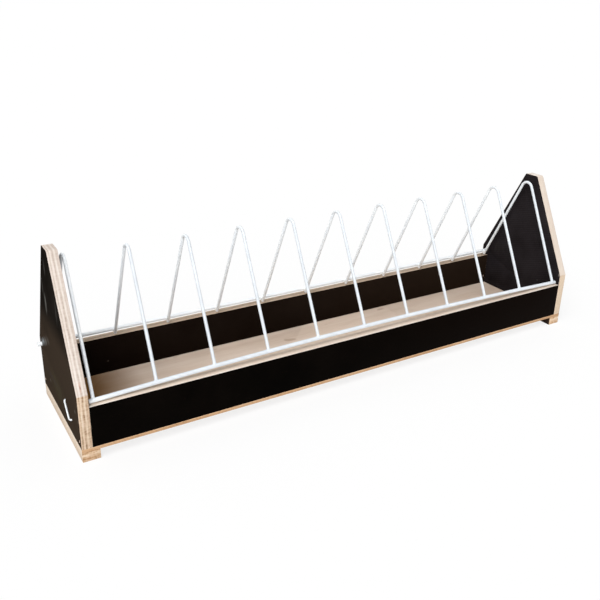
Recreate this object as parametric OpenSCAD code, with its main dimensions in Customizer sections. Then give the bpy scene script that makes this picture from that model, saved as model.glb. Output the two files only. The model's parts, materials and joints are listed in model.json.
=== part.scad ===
// Low feed trough of film-faced birch plywood with a hinged grille of bent wire.
// The object stands on two foot strips. X runs along the trough, with X = 0 at mid length.
// The front is -Y, with Y = 0 at mid depth, and Z = 0 is the surface that it stands on.

/* [Trough] */
// Length over the two end panels
overall_length = 750; // [500:10:1100]
// Depth of the end panels and the base, front to back
overall_depth = 165; // [140:1:240]
// Thickness of the base panel, whose top is the trough's floor
base_thickness = 4; // [3:0.5:9]
// Thickness of the front and back boards
board_thickness = 12; // [9:0.5:15]
// Height of the front board above the floor
front_board_height = 50; // [42:1:60]
// Height of the back board above the floor
back_board_height = 50; // [30:1:50]

/* [End panels] */
// Thickness of the end panels
panel_thickness = 12; // [9:0.5:18]
// Height of the end panels above the floor
panel_height = 205; // [198:1:260]
// Width of the flat top of an end panel
panel_top_width = 23; // [14:1:60]
// Height above the floor at which the end panels begin to narrow
knee_height = 65; // [60:1:90]
// Radius of the top corners of an end panel
top_corner_radius = 3; // [0.5:0.5:6]
// Radius of the corners where an end panel begins to narrow
knee_corner_radius = 1.5; // [0.5:0.5:6]

/* [Feet] */
// Width of a foot strip, along the trough
foot_width = 20; // [14:1:40]
// Height of a foot strip
foot_height = 12; // [8:1:20]

/* [Grille] */
// Number of bent wires
wire_count = 11; // [5:1:15]
// Diameter of the bent wires
wire_diameter = 4; // [3:0.5:5]
// Diameter of the front rod and the hinge rod
rod_diameter = 5; // [4:0.5:6]
// Distance from an end panel's inner face to the middle of the nearest wire
wire_end_gap = 7; // [6:0.5:12]
// Height of the wires' top above the floor
wire_top_height = 196; // [150:1:197]
// Radius of a wire's bend at its top, to the middle of the wire
wire_bend_radius = 10; // [6:0.5:16]
// Distance from the front face of the front board to the front rod's middle
front_rod_setback = 7; // [5:0.5:10]
// How far the middle of the front rod bows up off the front board
front_rod_bow = 7; // [1:0.5:10]
// Length of the front rod past the middle of the last wire
front_rod_overrun = 5; // [2:0.5:6]
// Gap left between the ends of the closed front rod and the front board's top edge
rest_gap = 0.3; // [0.1:0.1:1]
// Height of the hinge rod's middle above the floor
hinge_height = 58; // [58:1:62]
// Distance from the end panels' back edge to the hinge rod's middle
hinge_inset = 8; // [7:0.5:14]
// Length of the hinge rod past each end panel's outer face
hinge_overhang = 5; // [2:0.5:12]
// Radial clearance of the hinge rod in its holes
hinge_clearance = 0.1; // [0.05:0.01:0.1]
// Length of a back leg past the hinge rod's middle
back_leg_tail = 4; // [2:0.5:4.5]
// Depth to which a weld melts a wire into a rod
weld_depth = 0.4; // [0.2:0.1:0.6]

/* [Side clip] */
// Diameter of the thin wire clip on the left end panel
clip_diameter = 2; // [1.5:0.5:3]
// Distance from the panel's front edge to the clip's upper end
clip_top_setback = 56; // [50:1:60]
// Height above the floor of the clip's upper end
clip_top_height = 33; // [28:1:40]
// Distance from the panel's front edge to the clip's lower bend
clip_bend_setback = 41.5; // [38:0.5:46]
// Height above the floor of the clip's lower bend
clip_bend_height = 16.5; // [12:0.5:22]
// Radius of the clip's lower bend, to the middle of the wire
clip_bend_radius = 2; // [1.6:0.2:3]
// Length of the clip's turned foot
clip_foot_length = 9; // [5:0.5:14]
// Angle at which the clip's foot rises
clip_foot_rise = 22; // [0:1:40]
// Depth to which the clip's ends are driven into the panel
clip_bite = 6; // [3:0.5:8]
// Gap between the clip and the panel that it lies on
clip_gap = 0.1; // [0.1:0.1:0.5]

/* [Nails] */
// Diameter of a nail's shank
nail_diameter = 1.8; // [1.2:0.1:2.4]
// Diameter of a nail's head
nail_head_diameter = 3; // [2.6:0.1:4]
// Thickness of a nail's head
nail_head_thickness = 0.8; // [0.5:0.1:1.2]
// Length of the nails in the end panels and the feet
long_nail_length = 35; // [30:1:40]
// Length of the nails that come up through the base
short_nail_length = 25; // [16:1:28]
// Depth to which a nail's head is set below the surface
nail_set = 0.3; // [0.1:0.1:0.8]
// Height above the floor of the nail through an end panel into each board
panel_nail_height = 8; // [6:1:24]
// Number of nails that come up through the base into each board
base_nail_count = 5; // [2:1:8]
// Distance from an end panel's edge to the nearest foot nail
foot_nail_margin = 20; // [12:1:30]
// Radial room round a nail in its hole
nail_room = 0.05; // [0.02:0.01:0.1]

/* [Hidden] */
$fn = 48;

half_length = overall_length / 2;
half_depth = overall_depth / 2;
inner_length = overall_length - 2 * panel_thickness;
floor_z = foot_height + base_thickness;
panel_middle_x = half_length - panel_thickness / 2;
board_middle_y = half_depth - board_thickness / 2;

rod_r = rod_diameter / 2;
wire_r = wire_diameter / 2;
clip_r = clip_diameter / 2;

// Wire draws a little thinner where it is bent, and the straight runs lap into the bends.
bend_thinning = 0.02;
bend_lap = 0.04;

// The wires stand at even distances between the end panels.
wire_pitch = (inner_length - 2 * wire_end_gap) / (wire_count - 1);
function wire_x(index) = (index - (wire_count + 1) / 2) * wire_pitch;

// The front rod is an arc in an upright plane. It rests on the front board with its two ends.
front_rod_half = wire_x(wire_count) + front_rod_overrun;
front_rod_y = front_rod_setback - half_depth;
front_rod_end_z = floor_z + front_board_height + rod_r + rest_gap;
bow_radius = (front_rod_half * front_rod_half + front_rod_bow * front_rod_bow) / (2 * front_rod_bow);
bow_centre_z = front_rod_end_z + front_rod_bow - bow_radius;
bow_angle = 2 * asin(front_rod_half / bow_radius);
bow_steps = 24;
function front_rod_z(x) = bow_centre_z + sqrt(bow_radius * bow_radius - x * x);

hinge_y = half_depth - hinge_inset;
hinge_z = floor_z + hinge_height;
hinge_rod_length = overall_length + 2 * hinge_overhang;

// In each wire's plane a point is [y, z], and an angle is counted from +Y towards +Z.
bend_centre = [0, floor_z + wire_top_height - wire_r - wire_bend_radius];

// The back leg leaves the bend downwards and passes the hinge rod on its inner side.
back_leg_offset = rod_r + wire_r - weld_depth;
back_reach = bend_centre - [hinge_y, hinge_z];
back_turn = asin((wire_bend_radius + back_leg_offset) / norm(back_reach));
back_angle = atan2(back_reach[1], back_reach[0]) - back_turn - 90;
back_leg_length = norm(back_reach) * cos(back_turn) + back_leg_tail;

// The front leg runs from the bend straight at the middle of the front rod.
function front_reach(x) = bend_centre - [front_rod_y, front_rod_z(x)];
function front_turn(x) = asin(wire_bend_radius / norm(front_reach(x)));
function front_angle(x) = atan2(front_reach(x)[1], front_reach(x)[0]) + front_turn(x) + 90;
function front_leg_length(x) = norm(front_reach(x)) * cos(front_turn(x));

// The clip's ends turn into the panel through a bend as tight as the gap under the wire.
clip_corner = clip_r + clip_gap;
clip_x = -half_length - clip_corner;
clip_top = [clip_top_setback - half_depth, floor_z + clip_top_height];
clip_bend = [clip_bend_setback - half_depth, floor_z + clip_bend_height];
clip_body_angle = atan2(clip_bend[1] - clip_top[1], clip_bend[0] - clip_top[0]);
clip_turn = clip_body_angle + 180 + clip_foot_rise;
clip_foot_angle = clip_body_angle - clip_turn;
clip_turn_length = clip_bend_radius * tan(clip_turn / 2);
clip_tip = clip_bend + clip_foot_length * [cos(clip_foot_angle), sin(clip_foot_angle)];

nail_point_length = 2 * nail_diameter;
nail_point_width = 0.4;
base_nail_spacing = inner_length / base_nail_count;
foot_nail_ys = [foot_nail_margin - half_depth, 0, half_depth - foot_nail_margin];
cut_margin = 1;

film_black = "#1d1a18";
birch = "#dfc7a6";
wire_white = "#eef2f6";
steel_grey = "#a5a7a9";

// Lays flat work into a plane across the trough at the given X: its X becomes Y, and its Y becomes Z.
module across(x) {
    translate([x, 0, 0]) rotate([90, 0, 90]) children();
}

// Corner arc between two straight edges of a convex outline that runs anticlockwise.
function unit(v) = v / norm(v);
function corner_arc(before, corner, after, radius, steps = 5) =
    let (
        towards_before = unit(before - corner),
        towards_after = unit(after - corner),
        half_angle = acos(towards_before * towards_after) / 2,
        centre = corner + radius / sin(half_angle) * unit(towards_before + towards_after),
        first = atan2(-towards_before[0], towards_before[1]) + 180,
        sweep = 180 - 2 * half_angle
    )
    [for (step = [0 : steps])
        let (a = first + sweep * step / steps) centre + radius * [cos(a), sin(a)]];

// Outline of an end panel: upright sides below, sloping sides above and a flat top.
module panel_outline() {
    top = panel_top_width / 2;
    corners = [
        [-half_depth, 0], [half_depth, 0], [half_depth, knee_height],
        [top, panel_height], [-top, panel_height], [-half_depth, knee_height]
    ];
    polygon(concat(
        [corners[0], corners[1]],
        corner_arc(corners[1], corners[2], corners[3], knee_corner_radius),
        corner_arc(corners[2], corners[3], corners[4], top_corner_radius),
        corner_arc(corners[3], corners[4], corners[5], top_corner_radius),
        corner_arc(corners[4], corners[5], corners[0], knee_corner_radius)
    ));
}

// A nail driven along +Z from the surface at Z = 0. Room widens it into the space that it needs.
module nail(length, room = 0) {
    head_end = nail_set + nail_head_thickness;
    head_start = room > 0 ? -cut_margin : nail_set;
    translate([0, 0, head_start])
        cylinder(h = head_end + room - head_start, d = nail_head_diameter + 2 * room);
    translate([0, 0, nail_set])
        cylinder(h = length - nail_point_length, d = nail_diameter + 2 * room);
    translate([0, 0, nail_set + length - nail_point_length])
        cylinder(h = nail_point_length + room, d1 = nail_diameter + 2 * room, d2 = nail_point_width);
}

// A nail through an end panel into each board. Side is -1 for the left panel and 1 for the right.
module panel_nails(side, room = 0) {
    for (y = [-board_middle_y, board_middle_y])
        translate([side * half_length, y, floor_z + panel_nail_height])
            rotate([0, -side * 90, 0])
                nail(long_nail_length, room);
}

// Nails through the base into a board. Side is -1 for the front board and 1 for the back.
module base_nails(side, room = 0) {
    for (index = [1 : base_nail_count]) {
        x = (index - (base_nail_count + 1) / 2) * base_nail_spacing;
        translate([x, side * board_middle_y, foot_height])
            nail(short_nail_length, room);
    }
}

// Nails through a foot strip and the base into an end panel.
module foot_nails(side, room = 0) {
    for (y = foot_nail_ys)
        translate([side * panel_middle_x, y, 0])
            nail(long_nail_length, room);
}

module base_panel() {
    color(birch)
        difference() {
            translate([-half_length, -half_depth, foot_height])
                cube([overall_length, overall_depth, base_thickness]);
            for (side = [-1, 1]) {
                base_nails(side, nail_room);
                foot_nails(side, nail_room);
            }
        }
}

module foot_strip(side) {
    color(birch)
        difference() {
            translate([side > 0 ? half_length - foot_width : -half_length, -half_depth, 0])
                cube([foot_width, overall_depth, foot_height]);
            foot_nails(side, nail_room);
        }
}

module end_panel(side) {
    color(film_black)
        difference() {
            translate([0, 0, floor_z])
                across(side > 0 ? half_length - panel_thickness : -half_length)
                    linear_extrude(panel_thickness)
                        panel_outline();
            across(-half_length - cut_margin)
                translate([hinge_y, hinge_z, 0])
                    cylinder(h = overall_length + 2 * cut_margin, r = rod_r + hinge_clearance);
            panel_nails(side, nail_room);
            foot_nails(side, nail_room);
            if (side < 0)
                clip_holes();
        }
}

// The two blind holes that hold the side clip's ends.
module clip_holes() {
    across(-half_length - cut_margin)
        for (point = [clip_top, clip_tip])
            translate([point[0], point[1], 0])
                cylinder(h = cut_margin + clip_bite + clip_gap, r = clip_r + nail_room);
}

module board(side, height) {
    color(film_black)
        difference() {
            translate([-inner_length / 2, side * board_middle_y - board_thickness / 2, floor_z])
                cube([inner_length, board_thickness, height]);
            base_nails(side, nail_room);
            for (end = [-1, 1])
                panel_nails(end, nail_room);
        }
}

// A run of wire that heads along +Z, and what follows at its end. It laps into the bends beside it.
module straight(length, radius) {
    translate([0, 0, -bend_lap])
        cylinder(h = length + 2 * bend_lap, r = radius);
    translate([0, 0, length])
        children();
}

// A bend of the wire towards +X, and what follows at its end, with +X still towards the bend's centre.
module turn(bend_radius, angle, radius) {
    translate([bend_radius, 0, 0])
        rotate([-90, 180, 0]) {
            rotate_extrude(angle = angle)
                translate([bend_radius, 0])
                    circle(r = radius - bend_thinning);
            rotate([0, 0, angle])
                translate([bend_radius, 0, 0])
                    rotate([-90, 180, 0])
                        children();
        }
}

// The clip comes out of the panel, runs down its face, turns forwards and goes in again.
module side_clip() {
    body_length = norm(clip_top - clip_bend) - clip_corner - clip_turn_length;
    foot_length = clip_foot_length - clip_corner - clip_turn_length;
    color(wire_white)
        across(clip_x)
            translate([clip_top[0], clip_top[1], clip_corner + clip_bite])
                rotate([180, 0, clip_body_angle])
                    straight(clip_bite, clip_r) turn(clip_corner, 90, clip_r)
                    straight(body_length, clip_r) rotate([0, 0, 90])
                    turn(clip_bend_radius, clip_turn, clip_r)
                    straight(foot_length, clip_r) rotate([0, 0, -90])
                    turn(clip_corner, 90, clip_r) straight(clip_bite, clip_r);
}

module hinge_rod() {
    color(wire_white)
        across(-hinge_rod_length / 2)
            translate([hinge_y, hinge_z, 0])
                cylinder(h = hinge_rod_length, r = rod_r);
}

module front_rod() {
    color(wire_white)
        translate([0, front_rod_y, bow_centre_z])
            rotate([90, bow_angle / 2 - 90, 0])
                rotate_extrude(angle = bow_angle, $fn = ceil(360 * bow_steps / bow_angle))
                    translate([bow_radius, 0])
                        circle(r = rod_r, $fn = 48);
}

// One wire: two straight legs that run on from the bend at the top. The front leg's end is cut
// to sit on the front rod.
module grille_wire(index) {
    x = wire_x(index);
    sweep = front_angle(x) - back_angle;
    color(wire_white)
        across(x)
            difference() {
                translate([bend_centre[0], bend_centre[1], 0])
                    rotate([0, 0, back_angle]) {
                        translate([wire_bend_radius, bend_lap, 0])
                            rotate([90, 0, 0])
                                cylinder(h = back_leg_length + bend_lap, r = wire_r);
                        rotate_extrude(angle = sweep)
                            translate([wire_bend_radius, 0])
                                circle(r = wire_r - bend_thinning);
                        rotate([0, 0, sweep])
                            translate([wire_bend_radius, -bend_lap, 0])
                                rotate([-90, 0, 0])
                                    cylinder(h = front_leg_length(x) + bend_lap, r = wire_r);
                    }
                translate([front_rod_y, front_rod_z(x), -wire_diameter])
                    cylinder(h = 2 * wire_diameter, r = rod_r - weld_depth);
            }
}

base_panel();
foot_strip(-1);  // left_foot_strip
foot_strip(1);  // right_foot_strip
end_panel(-1);  // left_end_panel
end_panel(1);  // right_end_panel
board(-1, front_board_height);  // front_board
board(1, back_board_height);  // back_board
color(steel_grey) panel_nails(-1);  // left_panel_nails
color(steel_grey) panel_nails(1);  // right_panel_nails
color(steel_grey) base_nails(-1);  // front_base_nails
color(steel_grey) base_nails(1);  // back_base_nails
color(steel_grey) foot_nails(-1);  // left_foot_nails
color(steel_grey) foot_nails(1);  // right_foot_nails
side_clip();
hinge_rod();
front_rod();
for (index = [1 : wire_count])
    grille_wire(index);
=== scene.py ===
"""A low feed trough of film-faced birch plywood with a hinged grille of white wire.

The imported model's boards, wires and rods get their broken edges, their welds, their materials and the
photograph's camera and light here.
"""

import json
import math

import bpy
from mathutils import Matrix, Vector

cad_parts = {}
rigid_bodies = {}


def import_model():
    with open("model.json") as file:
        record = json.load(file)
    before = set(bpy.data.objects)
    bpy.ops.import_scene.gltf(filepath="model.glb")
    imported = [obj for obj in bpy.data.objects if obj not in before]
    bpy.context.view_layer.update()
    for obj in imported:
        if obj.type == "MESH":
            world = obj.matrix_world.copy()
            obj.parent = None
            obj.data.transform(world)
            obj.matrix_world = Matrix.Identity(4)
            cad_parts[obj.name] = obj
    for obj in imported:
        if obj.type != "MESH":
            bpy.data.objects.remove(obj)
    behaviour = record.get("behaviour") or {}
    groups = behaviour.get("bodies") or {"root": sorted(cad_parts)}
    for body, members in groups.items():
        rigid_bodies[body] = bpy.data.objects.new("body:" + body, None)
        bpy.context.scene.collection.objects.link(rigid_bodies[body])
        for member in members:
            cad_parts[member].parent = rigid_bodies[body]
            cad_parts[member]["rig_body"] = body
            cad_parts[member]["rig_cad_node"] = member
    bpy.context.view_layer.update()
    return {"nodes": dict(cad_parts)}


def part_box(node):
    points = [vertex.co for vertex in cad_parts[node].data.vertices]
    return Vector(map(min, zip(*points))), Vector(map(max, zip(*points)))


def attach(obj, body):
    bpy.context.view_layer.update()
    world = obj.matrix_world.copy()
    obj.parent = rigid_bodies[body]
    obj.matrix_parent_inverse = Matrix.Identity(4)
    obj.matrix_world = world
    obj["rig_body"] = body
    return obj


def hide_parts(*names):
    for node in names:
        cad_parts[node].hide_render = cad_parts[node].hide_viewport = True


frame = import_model()
MM = 0.001

# The photograph's camera, solved from the trough's corners, rods and wires. The photograph was
# cropped a little off its own centre, which gives the shift.
CAMERA_PLACE = Vector((-521.666, -761.186, 486.706)) * MM
CAMERA_AZIMUTH = math.radians(31.531)
CAMERA_DROP = math.radians(21.823)
CAMERA_ROLL = math.radians(1.451)
CAMERA_LENS = 43.685
CAMERA_SHIFT = -0.0396
SENSOR_WIDTH = 36.0

# The key lamp shines from the left, the front and above. A low fill lamp stands in front, as a
# reflector card would, and the world does the rest.
KEY_FROM = Vector((-0.46, -0.30, 0.83))
KEY_STRENGTH = 1.8
KEY_SPREAD = math.radians(38)
FILL_FROM = Vector((-0.42, -0.90, 0.08))
FILL_STRENGTH = 1.45
FILL_SPREAD = math.radians(60)
SKY_STRENGTH = 0.46

# Sizes of the object, read from the frame.
PANEL_LOW, PANEL_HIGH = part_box("right_end_panel")
PLY_THICKNESS = PANEL_HIGH.x - PANEL_LOW.x
FRONT_BOARD_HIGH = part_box("front_board")[1]
BACK_BOARD_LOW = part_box("back_board")[0]
BASE_LOW, BASE_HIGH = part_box("base_panel")
FOOT_LOW, FOOT_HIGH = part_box("left_foot_strip")
HINGE_LOW, HINGE_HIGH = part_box("hinge_rod")
ROD_RADIUS = (HINGE_HIGH.z - HINGE_LOW.z) / 2
HINGE_CENTRE = (HINGE_LOW + HINGE_HIGH) / 2
WIRES = [name for name in frame["nodes"] if name.startswith("grille_wire_")]
WIRE_RADIUS = (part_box(WIRES[0])[1].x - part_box(WIRES[0])[0].x) / 2
ROD_LOW, ROD_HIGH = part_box("front_rod")

# The end panels' slopes run from the knees up to the flat top.
KNEE_HEIGHT = 81 * MM
PANEL_TOP_HALF_WIDTH = 11.5 * MM

# Sizes of the finish.
SHEET_ARRIS = 0.3 * MM
THIN_SHEET_ARRIS = 0.25 * MM
COATED_RIM = 0.45 * MM
MESH_PITCH = 3.4 * MM
PLY_WANDER = 0.8 * MM
FRONT_WELD_REACH = (WIRE_RADIUS + 1.0 * MM, WIRE_RADIUS + 0.35 * MM, 1.25 * MM)
BACK_WELD_REACH = (WIRE_RADIUS + 1.3 * MM, 1.0 * MM, WIRE_RADIUS + 0.9 * MM)
WELD_SINK = 0.25 * MM
# From a wire's middle to the line of each straight leg, where it meets the height of the crown.
LEG_SPREAD = 8 * MM
# How far to either side of a wire the front rod's vertices are searched for its height there.
ROD_SEARCH = 16 * MM
FLOOR_SIZE = 80
FLOOR_DROP = 0.2 * MM


def linear(colour):
    """The linear colour of an sRGB hex value."""
    parts = [int(colour[i : i + 2], 16) / 255 for i in (1, 3, 5)]
    return [c / 12.92 if c <= 0.04045 else ((c + 0.055) / 1.055) ** 2.4 for c in parts] + [1.0]


def add_node(tree, kind, inputs=None, **settings):
    """Adds a node with its settings. Inputs gives each socket a value or the output that feeds it."""
    made = tree.nodes.new(kind)
    for name, value in settings.items():
        setattr(made, name, value)
    for socket, value in (inputs or {}).items():
        if isinstance(value, bpy.types.NodeSocket):
            tree.links.new(value, made.inputs[socket])
        else:
            made.inputs[socket].default_value = value
    return made


def new_material(name):
    """An empty material with its shader joined to its output, and the object's own coordinates."""
    material = bpy.data.materials.new(name)
    material.use_nodes = True
    tree = material.node_tree
    tree.nodes.clear()
    shader = add_node(tree, "ShaderNodeBsdfPrincipled")
    add_node(tree, "ShaderNodeOutputMaterial", {"Surface": shader.outputs[0]})
    place = add_node(tree, "ShaderNodeTexCoord").outputs["Object"]
    return material, tree, shader, place


def ramp(tree, fac, stops):
    """A colour ramp over (position, hex colour) stops."""
    made = add_node(tree, "ShaderNodeValToRGB", {"Fac": fac})
    elements = made.color_ramp.elements
    while len(elements) < len(stops):
        elements.new(0.5)
    for element, (position, colour) in zip(elements, stops):
        element.position = position
        element.color = linear(colour)
    return made.outputs["Color"]


def streaks(tree, place, scale, detail=3.0):
    """Noise stretched to its own scale along each axis, from 0 to 1."""
    stretched = add_node(tree, "ShaderNodeMapping", {"Vector": place, "Scale": scale}, vector_type="POINT")
    return add_node(
        tree, "ShaderNodeTexNoise", {"Vector": stretched.outputs[0], "Scale": 1.0, "Detail": detail}
    ).outputs["Fac"]


def spot(tree, place, centre, reach, ragged=0.0):
    """A soft mark: 1 at its centre and 0 at its reach from there along each axis. Both are in mm."""
    offset = add_node(
        tree, "ShaderNodeVectorMath", {0: place, 1: [c * MM for c in centre]}, operation="SUBTRACT"
    )
    scaled = add_node(
        tree, "ShaderNodeVectorMath", {0: offset.outputs[0], 1: [1 / (r * MM) for r in reach]}, operation="MULTIPLY"
    )
    far = add_node(tree, "ShaderNodeVectorMath", {0: scaled.outputs[0]}, operation="LENGTH").outputs["Value"]
    if ragged:
        noise = streaks(tree, place, [2.0 / (r * MM) for r in reach])
        far = add_node(tree, "ShaderNodeMath", {0: noise, 1: ragged, 2: far}, operation="MULTIPLY_ADD").outputs[0]
    return add_node(
        tree,
        "ShaderNodeMapRange",
        {"Value": far, "From Min": ragged / 2, "From Max": 1.0 + ragged / 2, "To Min": 1.0, "To Max": 0.0},
    ).outputs[0]


def stain(tree, under, colour, mask, strength):
    """The colour under a mark, tinted where the mask is. It lays real knots and also painted shadow, shade and
    reflection.
    """
    amount = add_node(tree, "ShaderNodeMath", {0: mask, 1: strength}, operation="MULTIPLY")
    mixed = add_node(
        tree, "ShaderNodeMix", {0: amount.outputs[0], 6: under, 7: linear(colour)}, data_type="RGBA"
    )
    return mixed.outputs[2]


def film_material(name, dark, light, gloss, mesh_depth=0.0, fades_and_painted_reflection=(), marks=()):
    """Phenolic film, hot-pressed on birch plywood: nearly black brown and satin, with fades and marks, some of which
    paint reflection and shade.

    The mesh side keeps the print of the press's wire mesh, drawn coarse enough to show. A fade tints the film
    towards a colour along a direction: its colour, the direction, where it is full and where it ends in
    mm, and its strength. A mark tints the film in upright strands: a colour, a centre, a reach and a strength.
    """
    material, tree, shader, place = new_material(name)
    cloud = streaks(tree, place, (22.0, 22.0, 22.0), 4.0)
    fine = streaks(tree, place, (420.0, 420.0, 420.0), 2.0)
    tone = add_node(tree, "ShaderNodeMath", {0: fine, 1: 0.35, 2: cloud}, operation="MULTIPLY_ADD").outputs[0]
    shade = add_node(tree, "ShaderNodeMapRange", {"Value": tone, "From Min": 0.45, "From Max": 0.9}).outputs[0]
    height = fine
    if mesh_depth:
        turns = 2 * math.pi / MESH_PITCH
        print_waves = []
        for direction in ((0.0, 0.3, 0.95), (0.0, -0.8, 0.6)):
            run = add_node(
                tree, "ShaderNodeVectorMath", {0: place, 1: [d * turns for d in direction]}, operation="DOT_PRODUCT"
            )
            wave = add_node(tree, "ShaderNodeMath", {0: run.outputs["Value"]}, operation="SINE")
            print_waves.append(wave.outputs[0])
        crossed = add_node(
            tree, "ShaderNodeMath", {0: print_waves[1], 1: 0.5, 2: print_waves[0]}, operation="MULTIPLY_ADD"
        )
        worn = add_node(tree, "ShaderNodeMath", {0: crossed.outputs[0], 1: fine}, operation="MULTIPLY")
        shade = add_node(
            tree, "ShaderNodeMath", {0: worn.outputs[0], 1: mesh_depth, 2: shade}, operation="MULTIPLY_ADD"
        ).outputs[0]
        height = crossed.outputs[0]
    colour = ramp(tree, shade, [(0.0, dark), (1.0, light)])
    for fade_colour, direction, full, gone, strength in fades_and_painted_reflection:
        uneven = streaks(tree, place, (12.0, 12.0, 20.0), 3.0)
        along = add_node(tree, "ShaderNodeVectorMath", {0: place, 1: direction}, operation="DOT_PRODUCT")
        level = add_node(
            tree, "ShaderNodeMath", {0: uneven, 1: 0.4 * abs(gone - full) * MM, 2: along.outputs["Value"]},
            operation="MULTIPLY_ADD",
        )
        fade = add_node(
            tree,
            "ShaderNodeMapRange",
            {"Value": level.outputs[0], "From Min": full * MM, "From Max": gone * MM, "To Min": 1.0, "To Max": 0.0},
            interpolation_type="SMOOTHSTEP",
        )
        colour = stain(tree, colour, fade_colour, fade.outputs[0], strength)
    strands = add_node(
        tree,
        "ShaderNodeMapRange",
        {"Value": streaks(tree, place, (350.0, 350.0, 30.0), 2.0), "From Min": 0.3, "From Max": 0.6},
    ).outputs[0]
    for mark_colour, centre, reach, strength in marks:
        mark = add_node(
            tree, "ShaderNodeMath", {0: spot(tree, place, centre, reach, 0.5), 1: strands}, operation="MULTIPLY"
        )
        colour = stain(tree, colour, mark_colour, mark.outputs[0], strength)
    tree.links.new(colour, shader.inputs["Base Color"])
    bump = add_node(tree, "ShaderNodeBump", {"Height": height, "Strength": 0.25, "Distance": 0.03 * MM})
    tree.links.new(bump.outputs[0], shader.inputs["Normal"])
    rubbed = add_node(tree, "ShaderNodeMapRange", {"Value": cloud, "To Min": 0.38, "To Max": 0.6})
    tree.links.new(rubbed.outputs[0], shader.inputs["Roughness"])
    shader.inputs["Specular IOR Level"].default_value = gloss
    return material


def edge_material(name, axis, low, thickness, along, plies, colours, fibre=1.0, marks=()):
    """Sawn edge of birch plywood: pale lines of long grain between darker end grain, with torn fibres.

    Plies gives the tone from 0 to 1 at even steps through the thickness, which runs along the axis from low
    to high. Along is the edge's own direction, on which the fibres lie as dashes 1 mm wide and 10 mm long.
    """
    material, tree, shader, place = new_material(name)
    mirrored = add_node(tree, "ShaderNodeVectorMath", {0: place}, operation="ABSOLUTE")
    parts = add_node(tree, "ShaderNodeSeparateXYZ", {"Vector": mirrored.outputs[0]})
    source = place if axis == 2 or along[0] else mirrored.outputs[0]
    run = add_node(tree, "ShaderNodeVectorMath", {0: source, 1: along}, operation="DOT_PRODUCT").outputs["Value"]
    flat = add_node(tree, "ShaderNodeCombineXYZ", {"X": parts.outputs[axis], "Y": run}).outputs[0]
    wander = streaks(tree, flat, (160.0, 28.0, 1.0), 2.0)
    depth = add_node(
        tree, "ShaderNodeMath", {0: wander, 1: PLY_WANDER, 2: parts.outputs[axis]}, operation="MULTIPLY_ADD"
    )
    start = low + PLY_WANDER / 2
    place_through = add_node(
        tree,
        "ShaderNodeMapRange",
        {"Value": depth.outputs[0], "From Min": start, "From Max": start + thickness},
    )
    layers = add_node(tree, "ShaderNodeValToRGB", {"Fac": place_through.outputs[0]})
    elements = layers.color_ramp.elements
    while len(elements) < len(plies):
        elements.new(0.5)
    for index, (element, tone) in enumerate(zip(elements, plies)):
        element.position = index / (len(plies) - 1)
        element.color = (tone, tone, tone, 1.0)
    dashes = streaks(tree, flat, (1000.0, 95.0, 1.0), 1.0)
    ripples = streaks(tree, flat, (140.0, 520.0, 1.0), 2.0)
    slow = streaks(tree, flat, (90.0, 14.0, 1.0), 2.0)
    tone = layers.outputs["Color"]
    for pattern, strength in ((dashes, 0.85 * fibre), (ripples, 0.6 * fibre), (slow, 0.7)):
        balanced = add_node(tree, "ShaderNodeMath", {0: pattern, 1: 0.5}, operation="SUBTRACT")
        tone = add_node(
            tree, "ShaderNodeMath", {0: balanced.outputs[0], 1: strength, 2: tone}, operation="MULTIPLY_ADD"
        ).outputs[0]
    colour = ramp(tree, tone, colours)
    for mark_colour, centre, reach, strength in marks:
        colour = stain(tree, colour, mark_colour, spot(tree, place, centre, reach, 0.35), strength)
    tree.links.new(colour, shader.inputs["Base Color"])
    bump = add_node(tree, "ShaderNodeBump", {"Height": dashes, "Strength": 0.4, "Distance": 0.15 * MM})
    tree.links.new(bump.outputs[0], shader.inputs["Normal"])
    shader.inputs["Roughness"].default_value = 0.8
    shader.inputs["Specular IOR Level"].default_value = 0.15
    return material


def veneer_material(name, colours, marks=()):
    """Bare rotary-cut birch veneer: pale tan with faint long grain, open pores and a few pin knots."""
    material, tree, shader, place = new_material(name)
    grain = streaks(tree, place, (4.0, 55.0, 55.0), 5.0)
    pores = streaks(tree, place, (60.0, 900.0, 900.0), 2.0)
    tone = add_node(tree, "ShaderNodeMath", {0: pores, 1: 0.4, 2: grain}, operation="MULTIPLY_ADD")
    level = add_node(tree, "ShaderNodeMapRange", {"Value": tone.outputs[0], "From Min": 0.4, "From Max": 1.0})
    colour = ramp(tree, level.outputs[0], colours)
    knots = streaks(tree, place, (45.0, 90.0, 90.0), 0.0)
    knot = add_node(
        tree,
        "ShaderNodeMapRange",
        {"Value": knots, "From Min": 0.16, "From Max": 0.22, "To Min": 1.0, "To Max": 0.0},
    )
    colour = stain(tree, colour, "#9a7452", knot.outputs[0], 0.4)
    for mark_colour, centre, reach, strength in marks:
        colour = stain(tree, colour, mark_colour, spot(tree, place, centre, reach, 0.3), strength)
    tree.links.new(colour, shader.inputs["Base Color"])
    bump = add_node(tree, "ShaderNodeBump", {"Height": pores, "Strength": 0.3, "Distance": 0.05 * MM})
    tree.links.new(bump.outputs[0], shader.inputs["Normal"])
    shader.inputs["Roughness"].default_value = 0.8
    shader.inputs["Specular IOR Level"].default_value = 0.1
    return material


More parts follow.
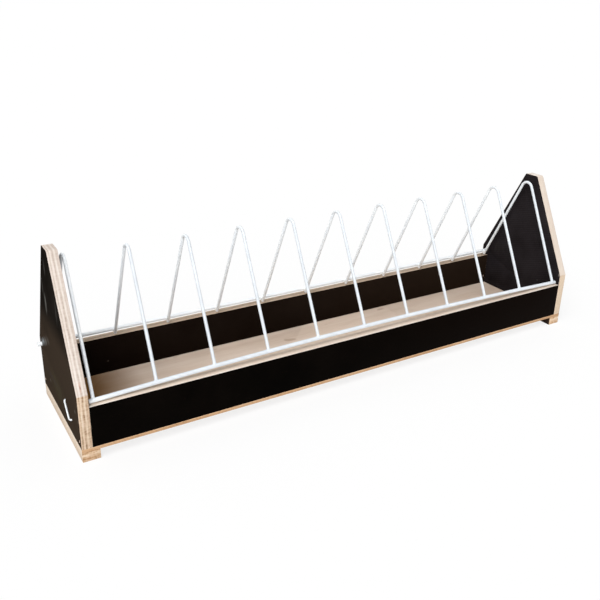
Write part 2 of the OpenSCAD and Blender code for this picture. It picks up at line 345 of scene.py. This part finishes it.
def powder_coat_material():
    """White powder coat, sprayed and baked on steel wire: cool white and satin, with a faint orange peel.

    The back legs and the first wire, which stand more in shade, are painted a little whiter than the front legs:
    painted light.
    """
    material, tree, shader, place = new_material("white_powder_coat")
    cloud = streaks(tree, place, (60.0, 60.0, 60.0), 3.0)
    # Painted light: the back legs and the first wire, which stand more in shade, take the whiter colour; the clear
    # mask picks them.
    painted_light_white = ramp(tree, cloud, [(0.3, "#f0f5fa"), (0.6, "#f9fdff")])
    front_leg_white = ramp(tree, cloud, [(0.3, "#dbe1e7"), (0.6, "#e4eaf0")])
    parts = add_node(tree, "ShaderNodeSeparateXYZ", {"Vector": place})
    back = add_node(
        tree, "ShaderNodeMapRange", {"Value": parts.outputs["Y"], "From Min": -6 * MM, "From Max": 6 * MM}
    )
    left = add_node(
        tree, "ShaderNodeMapRange", {"Value": parts.outputs["X"], "From Min": -335 * MM, "From Max": -350 * MM}
    )
    clear = add_node(tree, "ShaderNodeMath", {0: back.outputs[0], 1: left.outputs[0]}, operation="MAXIMUM")
    colour = add_node(
        tree, "ShaderNodeMix", {0: clear.outputs[0], 6: front_leg_white, 7: painted_light_white}, data_type="RGBA"
    ).outputs[2]
    tree.links.new(colour, shader.inputs["Base Color"])
    peel = streaks(tree, place, (800.0, 800.0, 800.0), 1.0)
    bump = add_node(tree, "ShaderNodeBump", {"Height": peel, "Strength": 0.1, "Distance": 0.03 * MM})
    tree.links.new(bump.outputs[0], shader.inputs["Normal"])
    shader.inputs["Roughness"].default_value = 0.36
    return material


def nail_material():
    """Bright drawn steel of the nails, a little dulled."""
    material, tree, shader, place = new_material("bright_steel")
    cloud = streaks(tree, place, (700.0, 700.0, 700.0), 2.0)
    colour = ramp(tree, cloud, [(0.35, "#b39c90"), (0.65, "#cfc8c4")])
    tree.links.new(colour, shader.inputs["Base Color"])
    shader.inputs["Metallic"].default_value = 1.0
    worn = add_node(tree, "ShaderNodeMapRange", {"Value": cloud, "To Min": 0.3, "To Max": 0.5})
    tree.links.new(worn.outputs[0], shader.inputs["Roughness"])
    return material


# The boards' films are lighter towards their right ends.
FILM_FRONT = film_material(
    "phenolic_film_front", "#050403", "#0b0806", 0.006,
    fades_and_painted_reflection=[("#0f0805", (-1, 0, 0), -260, 220, 0.8)],
)
FILM_BACK = film_material(
    "phenolic_film_back", "#150e0a", "#1c1511", 0.006,
    fades_and_painted_reflection=[("#2a2019", (-1, 0, 0), -300, 300, 0.85)],
    marks=[
        ("#e8cfc4", (359, 70.5, 28), (1.4, 1.5, 2.6), 0.9),
        ("#8a7d75", (-297.6, 70.5, 32), (1.6, 1.5, 1.6), 0.6),
    ],
)
FILM_RIGHT = film_material(
    "phenolic_film_mesh", "#1f1b1c", "#2d292b", 0.006, mesh_depth=0.45,
    marks=[
        ("#35322f", (363, 50, 86), (5, 17, 12), 0.5),
        # This dark bluish mark is painted shade in the lower back corner of the right panel's inner face.
        ("#131218", (363, 58, 58), (5, 24, 16), 0.5),
        ("#d8c9bb", (363, -80.4, 82), (2, 2.2, 4.0), 0.9),
        ("#6c6661", (363, -40.6, 59.4), (2, 1.6, 1.6), 0.6),
    ],
)
# The outer film's first fade paints the floor's reflection, lighter brown low on the panel; its second makes it
# lighter grey along the back edge.
FILM_LEFT = film_material(
    "phenolic_film_outer", "#181512", "#24201d", 0.0,
    fades_and_painted_reflection=[("#3e342b", (0, 0, 1), 112, 154, 0.9), ("#33322f", (0, -1, 0), -84, -74, 0.6)],
    marks=[
        ("#76746f", (-375, 22, 148), (6, 5, 16), 1.1),
        ("#5a5854", (-375, 29, 166), (6, 4, 15), 0.9),
        ("#4b4946", (-375, 8, 196), (6, 4, 12), 0.9),
        ("#4a4845", (-375, -27, 156), (6, 4, 18), 0.8),
        ("#1d1a17", (-375, 40, 108), (6, 26, 12), 0.5),
        ("#444130", (-375, 7, 46), (6, 42, 22), 0.7),
        ("#423b3f", (-375, 30, 48), (6, 46, 5), 0.4),
        ("#8d8986", (-375, 45, 38), (4, 3, 3), 0.6),
        ("#857f79", (-375, -69.5, 57), (4, 3, 3), 0.6),
        ("#857f79", (-375, -76.6, 49), (4, 2, 3), 0.6),
        # These four marks paint the reflection of the hinge pin, fading away from it up the panel.
        ("#c4ced3", (-375, 70, 78.5), (4, 9, 5), 0.9),
        ("#b4bcc0", (-375, 60, 83.5), (4, 10, 5), 0.75),
        ("#b4b6b4", (-375, 49, 89), (4, 11, 5.5), 0.4),
        ("#a8a6a0", (-375, 36, 95.5), (4, 12, 6), 0.2),
    ],
)
POWDER_COAT = powder_coat_material()
STEEL = nail_material()
# The veneer's one mark is a painted shadow: warm brown on the trough's floor beside the left end panel.
VENEER = veneer_material(
    "birch_veneer", [(0.0, "#d3baa5"), (0.5, "#dfcab8"), (1.0, "#e8d6c6")],
    marks=[("#9c7040", (-363, 40, 16), (104, 170, 10), 1.45)],
)
EDGE_DEPTH = PANEL_LOW.x, PLY_THICKNESS
UP_THE_SLOPE = Vector((0, PANEL_TOP_HALF_WIDTH - PANEL_HIGH.y, PANEL_HIGH.z - KNEE_HEIGHT)).normalized()
FILM_PLY = [0.3, 0.46, 0.3, 0.46, 0.82, 0.5, 0.22, 0.34, 0.72, 0.62, 0.22, 0.6, 0.3]
EVEN_PLY = [0.35, 0.42, 0.4, 0.44, 0.5, 0.48, 0.5, 0.54, 0.5, 0.54, 0.56, 0.52, 0.45]
THIN_PLY = [0.45, 0.55, 0.3, 0.6, 0.5]
RESIN = [
    ("#cf9179", (-369.3, -77.5, 89), (1.3, 5.5, 10), 0.7),
    ("#3f241c", (-369.2, -77.8, 88.5), (0.9, 1.8, 3.2), 0.95),
    ("#f6efe8", (-371.6, -55.7, 133.8), (0.9, 1.5, 1.6), 0.9),
]
SLOPE_COLOURS = [(0.0, "#9f8c7f"), (0.2, "#cdbdb1"), (0.45, "#dccec3"), (0.75, "#e9dfd6"), (1.0, "#f2ebe3")]
TAN_COLOURS = [(0.0, "#8a6b50"), (0.2, "#c0a083"), (0.45, "#dcc0a4"), (0.7, "#ead3b9"), (1.0, "#f4e7d6")]
SLOPE_LEFT = edge_material("birch_ply_slope_left", 0, *EDGE_DEPTH, UP_THE_SLOPE, FILM_PLY, SLOPE_COLOURS, 0.7, RESIN)
# On the right panel's slope edges, the near white mark paints light on the flat top, which faces the lamps.
SLOPE_RIGHT = edge_material("birch_ply_slope_right", 0, *EDGE_DEPTH, UP_THE_SLOPE, EVEN_PLY, [
    (0.0, "#c1ad9b"), (0.4, "#dacbbd"), (0.7, "#e2d6c9"), (1.0, "#ebe2d8")], 0.5, [
    ("#fcf6f0", (369, 0, 222), (9, 15, 5), 0.85)])
UPRIGHT_LEFT = edge_material("birch_ply_upright_left", 0, *EDGE_DEPTH, (0, 0, 1), FILM_PLY, TAN_COLOURS, 1.1)
UPRIGHT_RIGHT = edge_material("birch_ply_upright_right", 0, *EDGE_DEPTH, (0, 0, 1), EVEN_PLY, [
    (0.0, "#c2a68a"), (0.4, "#dfc8af"), (0.7, "#e6d2ba"), (1.0, "#eedfcc")], 0.6)
FRONT_BOARD_EDGE = edge_material(
    "birch_ply_front_board", 1, -FRONT_BOARD_HIGH.y, PLY_THICKNESS, (1, 0, 0),
    [0.5, 0.42, 0.5, 0.4, 0.35, 0.45, 0.4, 0.48, 0.55, 0.5, 0.7, 0.85, 0.75],
    [(0.0, "#b09885"), (0.35, "#d5c2b1"), (0.65, "#e0d1c2"), (1.0, "#efe5da")], 0.6,
)
BACK_BOARD_EDGE = edge_material(
    "birch_ply_back_board", 1, BACK_BOARD_LOW.y, PLY_THICKNESS, (1, 0, 0),
    [0.45, 0.6, 0.4, 0.5, 0.65, 0.4, 0.5, 0.6, 0.4, 0.55, 0.5, 0.6, 0.5],
    [(0.0, "#8a7662"), (0.35, "#b8a38e"), (0.65, "#cfbba7"), (1.0, "#e2d5c6")], 0.9,
)
BASE_EDGE = edge_material(
    "birch_ply_base", 2, BASE_LOW.z, BASE_HIGH.z - BASE_LOW.z, (1, 0, 0), THIN_PLY,
    [(0.0, "#96704f"), (0.35, "#c49a73"), (0.65, "#d2ac87"), (1.0, "#e2c8ac")], 0.7,
    [("#33241b", (374.6, -82.5, 14.8), (1.0, 2.0, 1.6), 0.95)],
)
BASE_END = edge_material(
    "birch_ply_base_ends", 2, BASE_LOW.z, BASE_HIGH.z - BASE_LOW.z, (0, 1, 0), THIN_PLY,
    [(0.0, "#c0a992"), (0.4, "#dfcdb9"), (0.75, "#eadccb"), (1.0, "#f4e9db")], 0.7,
)
FOOT_EDGE = edge_material(
    "birch_ply_feet", 2, FOOT_LOW.z, FOOT_HIGH.z - FOOT_LOW.z, (1, 0, 0),
    [0.5, 0.45, 0.38, 0.4, 0.36, 0.42, 0.5, 0.7, 0.62, 0.66, 0.5, 0.3, 0.2],
    [(0.0, "#9c7450"), (0.3, "#cba680"), (0.5, "#dec0a1"), (0.75, "#ecd6bc"), (1.0, "#f4e6d4")], 1.2,
    [("#a56f45", (-368, -82.5, 3.2), (5.5, 3, 1.6), 0.7)],
)
FOOT_SIDE = edge_material(
    "birch_ply_feet_outer", 2, FOOT_LOW.z, FOOT_HIGH.z - FOOT_LOW.z, (0, 1, 0),
    [0.35, 0.3, 0.35, 0.4, 0.5, 0.55, 0.6],
    [(0.0, "#bca58d"), (0.4, "#d8c5b1"), (0.75, "#e8d9c6"), (1.0, "#f2e7d9")], 0.7,
)
# The feet's inner sides are near black brown: painted shade, where they stand in the shadow under the base.
FOOT_INNER = edge_material(
    "damp_birch_ply_feet_inner", 2, FOOT_LOW.z, FOOT_HIGH.z - FOOT_LOW.z, (0, 1, 0),
    [0.3, 0.5, 0.3, 0.5, 0.3], [(0.0, "#1d120c"), (0.5, "#2f2018"), (1.0, "#46342a")],
)


def deselect():
    """Leaves nothing selected."""
    bpy.ops.object.select_all(action="DESELECT")


def node_copy(node, suffix):
    """A copy of a CAD node to work on, alone selected, with its doubles merged and its own mesh."""
    deselect()
    source = frame["nodes"][node]
    piece = source.copy()
    piece.data = source.data.copy()
    piece.name = node + suffix
    piece.parent = None
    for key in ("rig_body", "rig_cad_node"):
        del piece[key]
    bpy.context.scene.collection.objects.link(piece)
    piece.select_set(True)
    bpy.context.view_layer.objects.active = piece
    piece.data.materials.clear()
    bpy.ops.mesh.customdata_custom_splitnormals_clear()
    bpy.ops.object.mode_set(mode="EDIT")
    bpy.ops.mesh.select_all(action="SELECT")
    bpy.ops.mesh.remove_doubles(threshold=0.002 * MM)
    bpy.ops.object.mode_set(mode="OBJECT")
    return piece


def broken_edges(piece, width, angle, segments=2):
    """Breaks the sharp edges of the active piece and shades it smooth between those that are left."""
    bevel = piece.modifiers.new("arris", "BEVEL")
    bevel.width = width
    bevel.segments = segments
    bevel.limit_method = "ANGLE"
    bevel.angle_limit = math.radians(angle)
    bpy.ops.object.modifier_apply(modifier="arris")
    bpy.ops.object.shade_smooth_by_angle(angle=math.radians(28))


def sheet(node, arris, finishes):
    """A plywood sheet as a merged copy of its node. Finishes gives (direction, material) pairs: a face takes
    the first whose direction it faces, or else the last."""
    piece = node_copy(node, "_ply")
    bpy.ops.object.mode_set(mode="EDIT")
    bpy.ops.mesh.dissolve_limited(angle_limit=math.radians(1.0))
    bpy.ops.object.mode_set(mode="OBJECT")
    broken_edges(piece, arris, 30)
    for _, material in finishes:
        piece.data.materials.append(material)
    for face in piece.data.polygons:
        face.material_index = len(finishes) - 1
        for index, (direction, _) in enumerate(finishes[:-1]):
            if face.normal.dot(Vector(direction)) > 0.95:
                face.material_index = index
                break
    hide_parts(node)
    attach(piece, "trough")


LEFT, RIGHT, FRONT, BACK, UP, DOWN = (-1, 0, 0), (1, 0, 0), (0, -1, 0), (0, 1, 0), (0, 0, 1), (0, 0, -1)
sheet("left_end_panel", SHEET_ARRIS, [
    (LEFT, FILM_LEFT), (RIGHT, FILM_RIGHT), (FRONT, UPRIGHT_LEFT), (BACK, UPRIGHT_LEFT), (None, SLOPE_LEFT)])
sheet("right_end_panel", SHEET_ARRIS, [
    (LEFT, FILM_RIGHT), (RIGHT, FILM_LEFT), (FRONT, UPRIGHT_RIGHT), (BACK, UPRIGHT_RIGHT), (None, SLOPE_RIGHT)])
sheet("front_board", SHEET_ARRIS, [
    (FRONT, FILM_FRONT), (BACK, FILM_BACK), (None, FRONT_BOARD_EDGE)])
sheet("back_board", SHEET_ARRIS, [
    (FRONT, FILM_BACK), (BACK, FILM_FRONT), (None, BACK_BOARD_EDGE)])
sheet("base_panel", THIN_SHEET_ARRIS, [
    (UP, VENEER), (DOWN, VENEER), (LEFT, BASE_END), (RIGHT, BASE_END), (None, BASE_EDGE)])
sheet("left_foot_strip", SHEET_ARRIS, [
    (UP, VENEER), (DOWN, VENEER), (LEFT, FOOT_SIDE), (RIGHT, FOOT_INNER), (None, FOOT_EDGE)])
sheet("right_foot_strip", SHEET_ARRIS, [
    (UP, VENEER), (DOWN, VENEER), (RIGHT, FOOT_SIDE), (LEFT, FOOT_INNER), (None, FOOT_EDGE)])

# The grille's cut ends are rounded over by the coating.
for node in ["front_rod", "hinge_rod"] + WIRES:
    wire = node_copy(node, "_coated")
    broken_edges(wire, COATED_RIM, 55, 3)
    wire.data.materials.append(POWDER_COAT)
    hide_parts(node)
    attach(wire, "grille")

for name, node in frame["nodes"].items():
    if node.hide_render:
        continue
    node.data.materials.clear()
    node.data.materials.append(STEEL if name.endswith("nails") else POWDER_COAT)


def weld_bead(name, reach):
    """A weld under its coat, modelled once at the origin: a low mound with an uneven skirt."""
    deselect()
    bpy.ops.mesh.primitive_uv_sphere_add(segments=24, ring_count=16, radius=1.0, location=(0, 0, 0))
    bead = bpy.context.object
    bead.name = name
    bpy.ops.object.mode_set(mode="EDIT")
    bpy.ops.mesh.select_all(action="SELECT")
    bpy.ops.transform.resize(value=reach)
    bpy.ops.object.mode_set(mode="OBJECT")
    for vertex in bead.data.vertices:
        turn = math.atan2(vertex.co.y, vertex.co.x)
        vertex.co *= 1 + 0.06 * math.sin(5 * turn + 0.7) + 0.04 * math.sin(9 * turn)
    bpy.ops.object.shade_smooth()
    bead.data.materials.append(POWDER_COAT)
    return bead


def lay_bead(bead, number, place, lean):
    """A copy of a weld at its place on a wire, leaning about X. The first wire's weld is the model itself."""
    laid = bead
    if number > 1:
        laid = bead.copy()
        laid.data = bead.data.copy()
        bpy.context.scene.collection.objects.link(laid)
    laid.name = bead.name.rsplit("_", 1)[0] + "_" + str(number)
    turn = Matrix.Translation(place) @ Matrix.Rotation(lean, 4, "X")
    if number % 2:
        turn = turn @ Matrix.Rotation(math.pi, 4, "Z")
    return laid, turn


front_bead = weld_bead("weld_front_1", FRONT_WELD_REACH)
back_bead = weld_bead("weld_back_1", BACK_WELD_REACH)
rod_vertices = [vertex.co for vertex in frame["nodes"]["front_rod"].data.vertices]
laid_beads = []
for node in WIRES:
    number = int(node.rsplit("_", 1)[1])
    wire_low, wire_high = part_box(node)
    x = (wire_low.x + wire_high.x) / 2
    rod_top = max(point.z for point in rod_vertices if abs(point.x - x) < ROD_SEARCH)
    foot = Vector((x, (ROD_LOW.y + ROD_HIGH.y) / 2, rod_top - ROD_RADIUS))
    crown = Vector((x, (wire_low.y + wire_high.y) / 2, wire_high.z))
    rise = math.atan2(crown.y - LEG_SPREAD - foot.y, crown.z - foot.z)
    up_leg = Vector((0, math.sin(rise), math.cos(rise)))
    laid_beads.append(lay_bead(front_bead, number, foot + up_leg * (ROD_RADIUS - WELD_SINK), -rise))
    fall = math.atan2(HINGE_CENTRE.y - LEG_SPREAD - crown.y, crown.z - HINGE_CENTRE.z)
    inwards = Vector((0, -math.cos(fall), -math.sin(fall)))
    at_rod = Vector((x, HINGE_CENTRE.y, HINGE_CENTRE.z)) + inwards * ROD_RADIUS
    laid_beads.append(lay_bead(back_bead, number, at_rod, fall))
for bead, turn in laid_beads:
    bead.data.transform(turn)
    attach(bead, "grille")


def aim_camera():
    """Stands the camera where the photograph was taken from."""
    camera = bpy.data.objects.new("camera", bpy.data.cameras.new("camera"))
    bpy.context.scene.collection.objects.link(camera)
    camera.data.sensor_width = SENSOR_WIDTH
    camera.data.lens = CAMERA_LENS
    camera.data.shift_y = CAMERA_SHIFT
    ahead = Vector((
        math.sin(CAMERA_AZIMUTH) * math.cos(CAMERA_DROP),
        math.cos(CAMERA_AZIMUTH) * math.cos(CAMERA_DROP),
        -math.sin(CAMERA_DROP),
    ))
    right = ahead.cross(Vector((0, 0, 1))).normalized()
    up = right.cross(ahead)
    turned_right = right * math.cos(CAMERA_ROLL) + up * math.sin(CAMERA_ROLL)
    turned_up = up * math.cos(CAMERA_ROLL) - right * math.sin(CAMERA_ROLL)
    pose = Matrix((turned_right, turned_up, -ahead)).transposed().to_4x4()
    pose.translation = CAMERA_PLACE
    camera.matrix_world = pose
    bpy.context.scene.camera = camera


def seen_rays(tree):
    """1 for the rays that show the background: those of the camera, of gloss and of glass."""
    paths = add_node(tree, "ShaderNodeLightPath")
    direct = add_node(
        tree,
        "ShaderNodeMath",
        {0: paths.outputs["Is Camera Ray"], 1: paths.outputs["Is Glossy Ray"]},
        operation="MAXIMUM",
    )
    return add_node(
        tree, "ShaderNodeMath", {0: direct.outputs[0], 1: paths.outputs["Is Transmission Ray"]}, operation="MAXIMUM"
    ).outputs[0]


def light_studio():
    """A white floor and surroundings, an even soft light and two broad lamps."""
    scene = bpy.context.scene
    scene.view_settings.view_transform = "Standard"
    world = bpy.data.worlds.new("studio")
    world.use_nodes = True
    scene.world = world
    tree = world.node_tree
    tree.nodes.clear()
    level = add_node(
        tree, "ShaderNodeMapRange", {"Value": seen_rays(tree), "To Min": SKY_STRENGTH, "To Max": 1.0}
    )
    glow = add_node(
        tree, "ShaderNodeBackground", {"Color": (1.0, 1.0, 1.0, 1.0), "Strength": level.outputs[0]}
    )
    add_node(tree, "ShaderNodeOutputWorld", {"Surface": glow.outputs[0]})

    for name, source, strength, spread in (
        ("key_lamp", KEY_FROM, KEY_STRENGTH, KEY_SPREAD),
        ("fill_lamp", FILL_FROM, FILL_STRENGTH, FILL_SPREAD),
    ):
        lamp = bpy.data.objects.new(name, bpy.data.lights.new(name, "SUN"))
        lamp.data.energy = strength
        lamp.data.angle = spread
        lamp.rotation_euler = source.to_track_quat("Z", "Y").to_euler()
        scene.collection.objects.link(lamp)

    deselect()
    bpy.ops.mesh.primitive_plane_add(size=FLOOR_SIZE, location=(0, 0, -FLOOR_DROP))
    floor = bpy.context.object
    floor.name = "floor"
    material, tree, shader, _ = new_material("white_floor")
    # The floor shows as white and gives back a little less light, as pale card does.
    tone = add_node(
        tree, "ShaderNodeMix", {0: seen_rays(tree), 6: linear("#dedede"), 7: linear("#ffffff")}, data_type="RGBA"
    )
    tree.links.new(tone.outputs[2], shader.inputs["Base Color"])
    shader.inputs["Roughness"].default_value = 1.0
    shader.inputs["Specular IOR Level"].default_value = 0.0
    glow = add_node(tree, "ShaderNodeEmission", {"Color": (1.0, 1.0, 1.0, 1.0), "Strength": 1.0})
    share = add_node(tree, "ShaderNodeMath", {0: seen_rays(tree), 1: 0.8}, operation="MULTIPLY")
    both = add_node(
        tree, "ShaderNodeMixShader", {0: share.outputs[0], 1: shader.outputs[0], 2: glow.outputs[0]}
    )
    for node in tree.nodes:
        if node.type == "OUTPUT_MATERIAL":
            tree.links.new(both.outputs[0], node.inputs["Surface"])
    floor.data.materials.append(material)


aim_camera()
light_studio()
